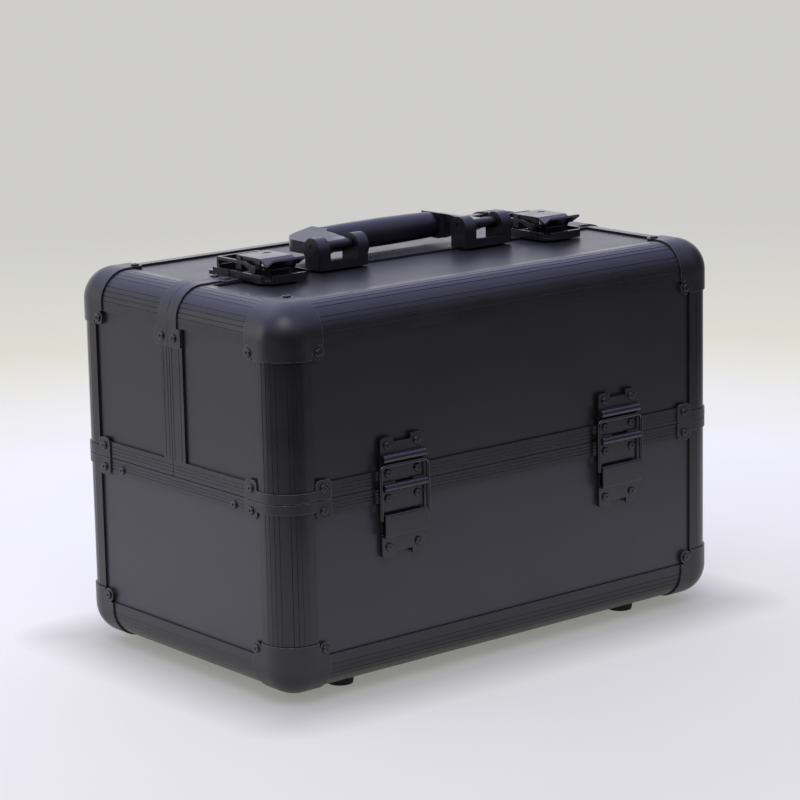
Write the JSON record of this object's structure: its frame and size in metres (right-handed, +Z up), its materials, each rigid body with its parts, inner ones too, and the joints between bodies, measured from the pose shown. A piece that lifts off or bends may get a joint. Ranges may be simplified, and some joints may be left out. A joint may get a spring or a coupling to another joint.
{
  "type": "sewing box with trays",
  "caption": "Aluminium-framed sewing case whose two lid halves fold outward and carry cantilever trays, with toggle latches and a folding handle.",
  "frame": {"origin": "under the middle of the case, on the plane that the feet stand on", "axes": "+X along the long side, +Y to the rear, +Z up"},
  "size_m": [0.3696, 0.2316, 0.2685],
  "materials": {
    "frame": "black anodised, fine brushed",
    "board": "matt black pebbled laminate on fibreboard",
    "hardware": "gloss black lacquered steel",
    "caps": "satin black lacquered steel",
    "rubber": "matt",
    "steel": "zinc plated",
    "tray": "satin moulded black",
    "grip": "soft satin black moulding",
    "foam": "fine napped black lining foam"
  },
  "bodies": {
    "case": {"base_bottom_rails": "frame", "base_corner_caps": "caps", "base_corner_posts": "frame", "base_end_panels": "board", "base_floor_panel": "board", "base_long_panels": "board", "base_rim_corner_plates": "caps", "base_rim_rails": "frame", "base_rivets": "hardware", "feet": "rubber", "floor_pad": "foam", "hinge_lower_leaves": "hardware", "hinge_pins": "hardware", "tray_pivot_brackets": "steel"},
    "front_lid": {"front_lid_corner_caps": "caps", "front_lid_corner_posts": "frame", "front_lid_edge_rails": "frame", "front_lid_end_panels": "board", "front_lid_face_panel": "board", "front_lid_link_pins": "steel", "front_lid_rim_corner_plates": "caps", "front_lid_rim_rails": "frame", "front_lid_rivets": "hardware", "front_lid_stiles": "frame", "front_lid_straps": "caps", "front_lid_top_panel": "board", "front_hinge_upper_leaves": "hardware", "handle_brackets": "grip", "handle_pins": "hardware", "latch_bases": "hardware"},
    "rear_lid": {"rear_lid_corner_caps": "caps", "rear_lid_corner_posts": "frame", "rear_lid_edge_rails": "frame", "rear_lid_end_panels": "board", "rear_lid_face_panel": "board", "rear_lid_link_pins": "steel", "rear_lid_rim_corner_plates": "caps", "rear_lid_rim_rails": "frame", "rear_lid_rivets": "hardware", "rear_lid_stiles": "frame", "rear_lid_straps": "caps", "rear_lid_top_panel": "board", "rear_hinge_upper_leaves": "hardware", "latch_keepers": "hardware"},
    "handle": {"handle_frame": "grip", "handle_grip": "grip"},
    "left_lever": {"left_latch_lever": "hardware"},
    "left_claw": {"left_latch_claw": "hardware"},
    "right_lever": {"right_latch_lever": "hardware"},
    "right_claw": {"right_latch_claw": "hardware"},
    "front_stays": {"front_hinge_stays": "hardware"},
    "front_outer_arms": {"front_outer_arms": "steel"},
    "front_inner_arms": {"front_inner_arms": "steel"},
    "front_lower_tray": {"front_lower_tray": "tray"},
    "front_upper_tray": {"front_upper_tray": "tray"},
    "rear_stays": {"rear_hinge_stays": "hardware"},
    "rear_outer_arms": {"rear_outer_arms": "steel"},
    "rear_inner_arms": {"rear_inner_arms": "steel"},
    "rear_lower_tray": {"rear_lower_tray": "tray"},
    "rear_upper_tray": {"rear_upper_tray": "tray"}
  },
  "joints": [
    {"name": "front_lid_fold", "type": "hinge", "parent": "case", "child": "front_lid", "pos_m": [0, -0.1132, 0.128], "axis": [1, 0, 0], "range_deg": [0, 90]},
    {"name": "front_stay_swing", "type": "hinge", "parent": "front_lid", "child": "front_stays", "pos_m": [0, -0.1132, 0.1415], "axis": [1, 0, 0], "range_deg": [-70, 0]},
    {"name": "front_outer_arm_swing", "type": "hinge", "parent": "case", "child": "front_outer_arms", "pos_m": [0, -0.088, 0.13], "axis": [1, 0, 0], "range_deg": [0, 90]},
    {"name": "front_inner_arm_swing", "type": "hinge", "parent": "case", "child": "front_inner_arms", "pos_m": [0, -0.068, 0.13], "axis": [1, 0, 0], "range_deg": [0, 90]},
    {"name": "front_lower_tray_level", "type": "hinge", "parent": "front_outer_arms", "child": "front_lower_tray", "pos_m": [0, -0.073, 0.145], "axis": [1, 0, 0], "range_deg": [-90, 0]},
    {"name": "front_upper_tray_level", "type": "hinge", "parent": "front_outer_arms", "child": "front_upper_tray", "pos_m": [0, -0.032, 0.186], "axis": [1, 0, 0], "range_deg": [-90, 0]},
    {"name": "rear_lid_fold", "type": "hinge", "parent": "case", "child": "rear_lid", "pos_m": [0, 0.1132, 0.128], "axis": [-1, 0, 0], "range_deg": [0, 90]},
    {"name": "rear_stay_swing", "type": "hinge", "parent": "rear_lid", "child": "rear_stays", "pos_m": [0, 0.1132, 0.1415], "axis": [-1, 0, 0], "range_deg": [-70, 0]},
    {"name": "rear_outer_arm_swing", "type": "hinge", "parent": "case", "child": "rear_outer_arms", "pos_m": [0, 0.088, 0.13], "axis": [-1, 0, 0], "range_deg": [0, 90]},
    {"name": "rear_inner_arm_swing", "type": "hinge", "parent": "case", "child": "rear_inner_arms", "pos_m": [0, 0.068, 0.13], "axis": [-1, 0, 0], "range_deg": [0, 90]},
    {"name": "rear_lower_tray_level", "type": "hinge", "parent": "rear_outer_arms", "child": "rear_lower_tray", "pos_m": [0, 0.073, 0.145], "axis": [-1, 0, 0], "range_deg": [-90, 0]},
    {"name": "rear_upper_tray_level", "type": "hinge", "parent": "rear_outer_arms", "child": "rear_upper_tray", "pos_m": [0, 0.032, 0.186], "axis": [-1, 0, 0], "range_deg": [-90, 0]},
    {"name": "handle_lift", "type": "hinge", "parent": "front_lid", "child": "handle", "pos_m": [0, -0.012, 0.2622], "axis": [1, 0, 0], "range_deg": [0, 90]},
    {"name": "left_latch_lift", "type": "hinge", "parent": "front_lid", "child": "left_lever", "pos_m": [-0.116, 0, 0.2585], "axis": [-1, 0, 0], "range_deg": [0, 75]},
    {"name": "left_claw_swing", "type": "hinge", "parent": "left_lever", "child": "left_claw", "pos_m": [-0.116, -0.018, 0.2555], "axis": [-1, 0, 0], "range_deg": [-85, 0]},
    {"name": "right_latch_lift", "type": "hinge", "parent": "front_lid", "child": "right_lever", "pos_m": [0.116, 0, 0.2585], "axis": [-1, 0, 0], "range_deg": [0, 75]},
    {"name": "right_claw_swing", "type": "hinge", "parent": "right_lever", "child": "right_claw", "pos_m": [0.116, -0.018, 0.2555], "axis": [-1, 0, 0], "range_deg": [-85, 0]}
  ],
  "couplings": [
    {"joint": "front_stay_swing", "follows": "front_lid_fold", "ratio": -0.736},
    {"joint": "front_outer_arm_swing", "follows": "front_lid_fold", "ratio": 1},
    {"joint": "front_inner_arm_swing", "follows": "front_lid_fold", "ratio": 1},
    {"joint": "front_lower_tray_level", "follows": "front_lid_fold", "ratio": -1},
    {"joint": "front_upper_tray_level", "follows": "front_lid_fold", "ratio": -1},
    {"joint": "rear_lid_fold", "follows": "front_lid_fold", "ratio": 1},
    {"joint": "rear_stay_swing", "follows": "front_lid_fold", "ratio": -0.736},
    {"joint": "rear_outer_arm_swing", "follows": "front_lid_fold", "ratio": 1},
    {"joint": "rear_inner_arm_swing", "follows": "front_lid_fold", "ratio": 1},
    {"joint": "rear_lower_tray_level", "follows": "front_lid_fold", "ratio": -1},
    {"joint": "rear_upper_tray_level", "follows": "front_lid_fold", "ratio": -1},
    {"joint": "left_claw_swing", "follows": "left_latch_lift", "ratio": -1.1},
    {"joint": "right_claw_swing", "follows": "right_latch_lift", "ratio": -1.1}
  ]
}
